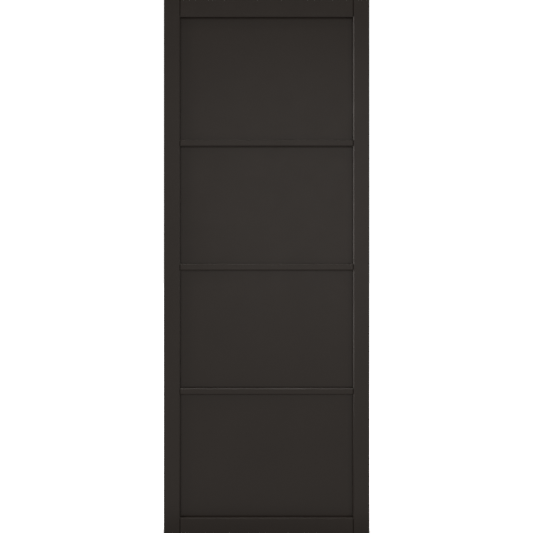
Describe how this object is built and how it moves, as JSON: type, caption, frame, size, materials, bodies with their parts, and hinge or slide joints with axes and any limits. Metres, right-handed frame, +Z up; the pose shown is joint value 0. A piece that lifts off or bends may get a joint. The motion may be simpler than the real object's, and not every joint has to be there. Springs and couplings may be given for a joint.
{
  "type": "interior door",
  "caption": "Black painted interior door leaf with slim stiles, rails and cross bars round flat recessed panels.",
  "frame": {"origin": "middle of the leaf's bottom edge, half way through its thickness", "axes": "+Z up, +X to the right across the leaf as seen from the front, front face towards -Y"},
  "size_m": [0.762, 0.035, 1.981],
  "materials": {
    "painted_frame": "satin",
    "painted_bar": "satin",
    "painted_panel": "satin",
    "beech_dowel": "matte"
  },
  "bodies": {
    "root": {"left_stile": "painted_frame", "right_stile": "painted_frame", "top_rail": "painted_frame", "bottom_rail": "painted_frame", "upper_bar": "painted_bar", "middle_bar": "painted_bar", "lower_bar": "painted_bar", "top_panel": "painted_panel", "upper_middle_panel": "painted_panel", "lower_middle_panel": "painted_panel", "bottom_panel": "painted_panel", "bottom_rail_left_lower_dowel": "beech_dowel", "bottom_rail_left_upper_dowel": "beech_dowel", "bottom_rail_right_lower_dowel": "beech_dowel", "bottom_rail_right_upper_dowel": "beech_dowel", "top_rail_left_lower_dowel": "beech_dowel", "top_rail_left_upper_dowel": "beech_dowel", "top_rail_right_lower_dowel": "beech_dowel", "top_rail_right_upper_dowel": "beech_dowel", "lower_bar_left_dowel": "beech_dowel", "lower_bar_right_dowel": "beech_dowel", "middle_bar_left_dowel": "beech_dowel", "middle_bar_right_dowel": "beech_dowel", "upper_bar_left_dowel": "beech_dowel", "upper_bar_right_dowel": "beech_dowel"}
  },
  "joints": []
}
